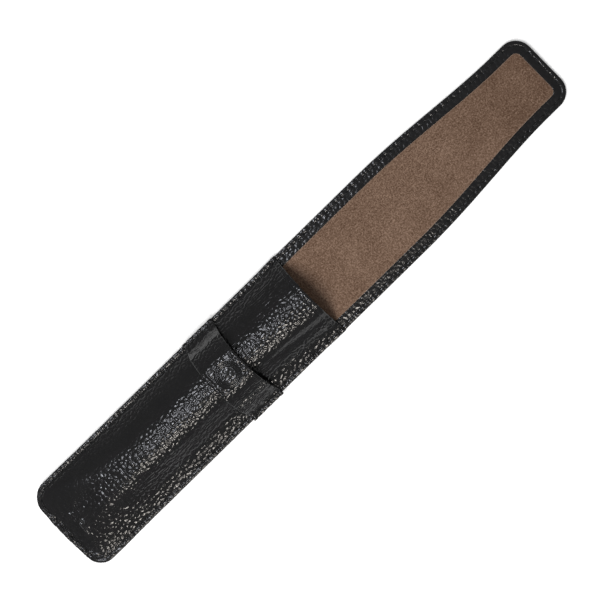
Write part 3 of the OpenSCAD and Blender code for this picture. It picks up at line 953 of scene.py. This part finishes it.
def pouch_threads():
    # none under the strap's ends or over the hem
    seen = lambda x: (x < K_NEAR - K_W - 1.2) | ((x > K_NEAR + 1.2) & (x < -HEM - 0.8))
    P, T, U = along(POUCH_LINE, POUCH_PITCH, SEAM_Z, 1, seen)
    P[:, 0], P[:, 1] = drawn(P[:, 0], P[:, 1])
    stitch_mesh("seam_thread_front", P, T, U, POUCH_PITCH)
    P, T, U = along(POUCH_LINE, POUCH_PITCH, UNDER, -1, lambda x: x < -0.4)
    P[:, 0], P[:, 1] = pouch_flat(0, 1)(P[:, 0], P[:, 1], 0).T[:2]
    stitch_mesh("seam_thread_back", P, T, U, POUCH_PITCH, sink=0.24)


def mouth_thread():
    u = even_arc(400)
    hem = dome(np.full(401, -HEM), FOOT * u, u, np.full(401, PL - SEAM - HEM), 0.0)
    run = lengths(*hem.T)
    place = lambda q: at_length(q, run, *hem.T)
    at = np.arange(2.2, run[-1] - 2.0, MOUTH_PITCH)
    T = place(at + 0.6) - place(at - 0.6)
    U = np.cross([1.0, 0, 0], unit(T))
    stitch_mesh("mouth_thread", place(at), T, U, MOUTH_PITCH, sink=0.24, r=0.25)


# ------------ keeper strap
def strap_line(k):
    """The strap's section at depth k below its outer face: Y and Z by length from the crest."""
    y, z = STRAP[0], STRAP[1] * STRAP_RISE
    n = unit(np.c_[-np.gradient(z, y), 0 * y + 1])
    y, z = y - n[:, 0] * k, SEAM_Z + K_T + z - n[:, 1] * k
    s = lengths(y, z)
    return s - s[-1] / 2, y, z


def strap_place(x, y):
    """Where a point of the strap lies, from x counted from its middle and from its section's y."""
    return K_NEAR - K_W / 2 + x - K_LEAN * arch(y / (STRAP_IN_W + K_T)), y - 0.2


def strap_pull(x, y):
    """The strap's hide is pulled along its width over both shoulders."""
    return 0.6 * between(14, 17, 19.6, 20.6, y) + 1.0 * between(8, 12, 20.2, 21.4, -y)


def strap_top(k):
    """The strap's surface at depth k below its outer face, and its half length."""
    S, Y, Z = strap_line(k)

    def top(A, B):
        x, y = strap_place(A, np.interp(B, S, Y))
        return points(x, y, np.interp(B, S, Z))
    return top, S[-1]


def strap_relief(v, end):
    """Padded edges, the seams at both ends, and the round mark: two plain rings round a bare middle."""
    e = np.minimum(K_W / 2 - np.abs(v["s"]), 9)
    h = 0.14 * bell(e - 1.0, 0.8) - 0.10 * bell(e - 2.4, 0.5)
    f = end - np.abs(v["t"])
    k = v["s"] / STRAP_PITCH - np.round(v["s"] / STRAP_PITCH)
    h += -0.28 * bell(f - 2.0, 0.42) * (1 + 0.5 * bell(k * STRAP_PITCH, 0.4))
    r = np.hypot(v["s"], v["t"]) - MARK_R
    h += -0.46 * bell(r, 0.38) - 0.38 * bell(r + 1.5, 0.34)
    h += 0.08 * bell(r + 0.75, 0.35) - 0.06 * smooth(-1.0, -1.8, r)
    y = v["y"]
    taut = between(7, 9, 14, 16, y) + between(8, 9.5, 13.5, 15, -y)
    pressed = np.exp(-((r + 0.75) / 1.75) ** 6)
    return h, 1 - 0.97 * pressed - 0.35 * smooth(-1.8, -2.6, r) - 0.6 * taut


def keeper_strap():
    top, end = strap_top(0.0)
    b = slab(edge_steps(-K_W / 2, K_W / 2, 0.25), edge_steps(-end, end, 0.25), top, K_T - K_LIN)
    dress(b, "keeper_strap", LEATHER, GRAIN, lambda v: strap_relief(v, end), pull=strap_pull)


def keeper_lining():
    top, end = strap_top(K_T)
    inset, er = 0.35, 0.15
    A, B = (edge_steps(inset - half, half - inset, 0.9, er=er) for half in (K_W / 2, end))
    dress(slab(A, B, top, K_LIN, face=-1, er=er), "keeper_lining", LEATHER, 0.04)


def keeper_thread():
    S, Y, Z = strap_line(0.0)
    x = (np.arange(STRAP_STITCHES) - (STRAP_STITCHES - 1) / 2) * STRAP_PITCH
    parts = []
    for side in (-1, 1):
        t = side * (S[-1] - 2.0)
        before, (y, z), after = at_length([t - 0.3, t, t + 0.3], S, Y, Z)
        dy, dz = after - before
        P = points(*strap_place(x, y + 0 * x), z)
        parts.append((P, points(1.0, 0 * x, 0), points(0 * x, -dz, dy)))
    stitch_mesh("keeper_thread", *join(*parts), STRAP_PITCH)


# ------------ fold and flap
def suede_z(x):
    """Height of the suede, which climbs from the pouch's back onto the flap's board."""
    low = BACK + LIN + 0.04
    return low + (SUEDE_TOP - low) * smooth(0, FLAPX + 4, x)


def fold_groove(v):
    """The flap's seam on the fold."""
    return groove(flap_half(v["s"]) - np.abs(v["t"]), v["s"], FLAP_PITCH), 1.0


def fold_outer():
    A = edge_steps(FOLD_1[2], MID, 0.45, roll=(False, False))
    flat = lambda x, y: points(x, y, UNDER)
    b = slab(A, open_end(FHW, SEAM, 112), flat, BACK - UNDER, face=-1, roll=CUT_ENDS)
    dress(b, "fold_outer", LEATHER, GRAIN * 0.8, fold_groove, FOLD_1)


BORDER_STEPS = edge_steps(0, FB, 0.4, more=np.r_[WIDE_BAND, 4.1, 5.0])


def border_z(e, y):
    """The border's height. It slopes down from the suede to the stitches, and more so on -Y."""
    fall = 0.36 - 0.24 * smooth(-8, 8, y)
    return BACK + FACE - fall * smooth(5.8, 2.2, e) - 0.10 * smooth(2.2, 0, e)


def fold_borders():
    def relief(v):
        sunk = smooth(-0.5, -1.8, v["s"])       # inside the pouch's seam
        return fold_groove(v)[0] * (1 - sunk) - 0.15 * sunk, 1 - sunk

    for side, name in ((1, "fold_border_left"), (-1, "fold_border_right")):
        A = edge_steps(EDGE_FILL, MID, 0.38, roll=(False, False))
        B = np.sort(side * (FHW - BORDER_STEPS))
        top = lambda x, y: points(x, y, border_z(FHW - np.abs(y), y))
        b = slab(A, B, top, FACE, roll=CUT_ENDS)
        dress(b, name, LEATHER, GRAIN * 0.55, relief, FOLD_1)


SUEDE_E0, SUEDE_R, SUEDE_COLS = 2.0, 0.22, 72
SUEDE_BAND = BAND * 0.5


def fold_lining():
    A = edge_steps(-4.4, MID, 0.5, roll=(False, False))
    B = open_end(WINDOW, SUEDE_E0, SUEDE_COLS, SUEDE_BAND, SUEDE_R)
    top = lambda x, y: points(x, y, suede_z(x))
    b = slab(A, B, top, LIN, er=SUEDE_R, roll=CUT_ENDS,
             values=lambda a, y: {"wear": cut_line(WINDOW - np.abs(y)) * smooth(-2, 2, a)})
    dress(b, "fold_lining", SUEDE, NAP, body=FOLD_1, soft=True)


def flap_outer():
    up = UPatch(FLEN, MID, flap_half, (TIPR, TIPR), 0.45, 112)
    flat = lambda x, y, *rest: points(x, y, UNDER + rest[-1])
    b = u_plate(up, flat, flat, BACK - UNDER, face=-1)
    dress(b, "flap_outer", LEATHER, GRAIN * 0.8, edge_groove(FLAP_PITCH), FOLD_2)


def window_gap(x, y):
    """Signed distance from the border's window, mm, negative inside it."""
    r, x_end = 3.0, FLEN - FB
    qx, qy = x - (x_end - r), np.abs(y) - (flap_half(x) - FB - r)
    return np.hypot(np.maximum(qx, 0), np.maximum(qy, 0)) + np.minimum(np.maximum(qx, qy), 0) - r


def window_depth(x, y, N):
    """How far in from points of the flap's outline its window lies, found by halving."""
    lo, hi = np.full((len(x), 1), 4.5), np.full((len(x), 1), TIPR - 0.01)
    for _ in range(30):
        m = (lo + hi) / 2
        inside = window_gap(*outward(x, y, N, -m)) < 0
        lo, hi = np.where(inside, lo, m), np.where(inside, m, hi)
    return lo


def flap_outline():
    """Points of the flap's outline, from the fold round the tip and back, and their normals."""
    up = UPatch(FLEN, MID, flap_half, (TIPR, TIPR), 0.38, 90, e0=0.0)
    X, Y, _, _ = up.grid()
    rows, cols, N = up.path()
    pick = np.linspace(0, len(rows) - 1, (len(rows) - 1) // 4 * 4 + 1)
    pick[[1, -2]] = 0.05, len(rows) - 1.05
    x, y, nx, ny = at_length(pick, np.arange(len(rows)), X[rows, cols], Y[rows, cols], *N.T).T
    return x, y, unit(np.c_[nx, ny])


def flap_border():
    line = flap_outline()
    depth = window_depth(*line)
    run = lengths(*(v[:, 0] for v in outward(*line, -STITCH)))[:, None] + MID

    def inset(b):
        return b * (1 + (depth / FB - 1) * smooth(3.0, FB, b))

    def top(a, b):
        x, y = outward(*line, -inset(b))
        return points(x, y, border_z(inset(b), y))

    def values(a, b):
        x, y, _ = np.moveaxis(top(a, b), -1, 0)
        return {"s": x, "t": y, "e": inset(b), "run": run}

    b = slab(lengths(*line[:2]), BORDER_STEPS, top, FACE, roll=CUT_ENDS, values=values)
    dress(b, "flap_border", LEATHER, GRAIN * 0.55, edge_groove(FLAP_PITCH), FOLD_2)


def flap_lining():
    out = FHW - WINDOW
    up = UPatch(FLEN - out, MID, lambda x: flap_half(x) - out, (3.2, 3.2), 0.5, SUEDE_COLS, e0=SUEDE_E0)
    shape = lambda x, y, *rest: points(x, y, suede_z(x) - rest[-1])
    b = u_plate(up, shape, shape, LIN, band=SUEDE_BAND, er=SUEDE_R)
    dress(b, "flap_lining", SUEDE, NAP, body=FOLD_2, soft=True)


def flap_threads():
    roll = lambda y: border_z(STITCH, y)
    for face, z, name, sink in ((1, roll, "inner", 0.16), (-1, UNDER, "outer", 0.24)):
        seam = along(FLAP_LINE, FLAP_PITCH, z, face, lambda x: x > MID)
        stitch_mesh("flap_thread_" + name, *seam, FLAP_PITCH, FOLD_2, sink)
    top = along(FLAP_LINE, FLAP_PITCH, roll, 1, lambda x: (x > 0.6) & (x <= MID))
    low = along(FLAP_LINE, FLAP_PITCH, UNDER, -1, lambda x: (x > 0.0) & (x <= MID))
    stitch_mesh("fold_thread", *join(top, low), FLAP_PITCH, FOLD_1, sink=0.2)


def keep_board():
    """The stiffener is hidden, so its CAD solid stays, with its own material."""
    o = frame["nodes"]["flap_stiffener"]
    o.data.materials.clear()
    o.data.materials.append(BOARD)


for make in (front_panel, front_lining, back_lining, back_panel, pouch_threads, mouth_thread, keeper_strap,
             keeper_lining, keeper_thread, fold_outer, fold_borders, fold_lining, flap_outer, flap_border,
             flap_lining, flap_threads, keep_board):
    make()


# ------------ stage, light, camera, in metres
FLOOR_HALF, FLOOR_Z = 1.4, -0.0001
FLOOR_GLOW = 0.36           # makes the lit floor white in the picture, and lights nothing
FAR = (0.3, 1.0)            # over this distance the glow rises to 1, where the lamps no longer reach
SKY = 0.26                  # strength of the world's light. The camera sees it as white.
CAM_X, CAM_Y, CAM_Z = -0.0058, 0.0009, 0.8
CAM_TURN = -44.435          # degrees
VIEW = 0.2824               # width of what the camera sees at the floor
SENSOR = 36.0               # mm


def floor():
    me = bpy.data.meshes.new("floor")
    corners = [(x * FLOOR_HALF, y * FLOOR_HALF, FLOOR_Z) for x, y in ((-1, -1), (1, -1), (1, 1), (-1, 1))]
    me.from_pydata(corners, [], [(0, 1, 2, 3)])
    m, t, b = new_mat("floor_white", Base_Color=(0.86, 0.86, 0.86, 1), Roughness=0.9, Specular_IOR_Level=0.1,
                      Emission_Color=(1, 1, 1, 1))
    ray = node(t, "LightPath").outputs
    seen = weigh(t, *((ray["Is %s Ray" % k], 1.0) for k in ("Camera", "Glossy", "Transmission")), clamp=True)
    away = node(t, "VectorMath", operation="LENGTH", Vector=node(t, "NewGeometry").outputs["Position"])
    far = node(t, "MapRange", interpolation_type="SMOOTHSTEP", Value=away.outputs["Value"],
               From_Min=FAR[0], From_Max=FAR[1])
    far = mth(t, "MULTIPLY", ray["Is Camera Ray"], far.outputs["Result"])
    feed(t, b, Emission_Strength=weigh(t, (seen, FLOOR_GLOW), (far, 1 - FLOOR_GLOW)))
    me.materials.append(m)
    add_object("floor", me)


def world():
    w = bpy.data.worlds.new("world")
    bpy.context.scene.world = w
    w.use_nodes = True
    t = w.node_tree
    seen = node(t, "LightPath").outputs["Is Camera Ray"]
    feed(t, t.nodes["Background"], Color=(1, 1, 1, 1), Strength=weigh(t, (seen, 1 - SKY), plus=SKY))


def lamp(name, at, size, power, colour=(1, 1, 1)):
    """A square area lamp that points at the origin."""
    data = bpy.data.lights.new(name, "AREA")
    data.energy, data.size, data.color = power, size, colour
    o = add_object(name, data)
    o.location = at
    o.rotation_euler = (-Vector(at)).to_track_quat("-Z", "Y").to_euler()
    return o


def camera():
    """Straight above the case, turned so that the case lies across the picture."""
    data = bpy.data.cameras.new("camera")
    data.sensor_width = SENSOR
    data.lens = SENSOR * CAM_Z / VIEW
    data.clip_start, data.clip_end = 0.01, 50
    o = add_object("camera", data)
    o.location = (CAM_X, CAM_Y, CAM_Z)
    o.rotation_euler = (0, 0, math.radians(CAM_TURN))
    bpy.context.scene.camera = o


floor()
world()
# The softbox lights the case, and the two small lamps only shine in its gloss, one from each side.
lamp("softbox", (-0.56, -0.14, 1.0), 0.55, 11.3).visible_glossy = False
lamp("lamp_warm", (-0.21, -0.50, 1.0), 0.25, 5.6, (1.0, 0.94, 0.87)).visible_diffuse = False
lamp("lamp_cool", (-0.20, 0.37, 1.06), 0.23, 4.0, (0.91, 0.93, 1.0)).visible_diffuse = False
camera()
bpy.context.scene.view_settings.view_transform = "Standard"
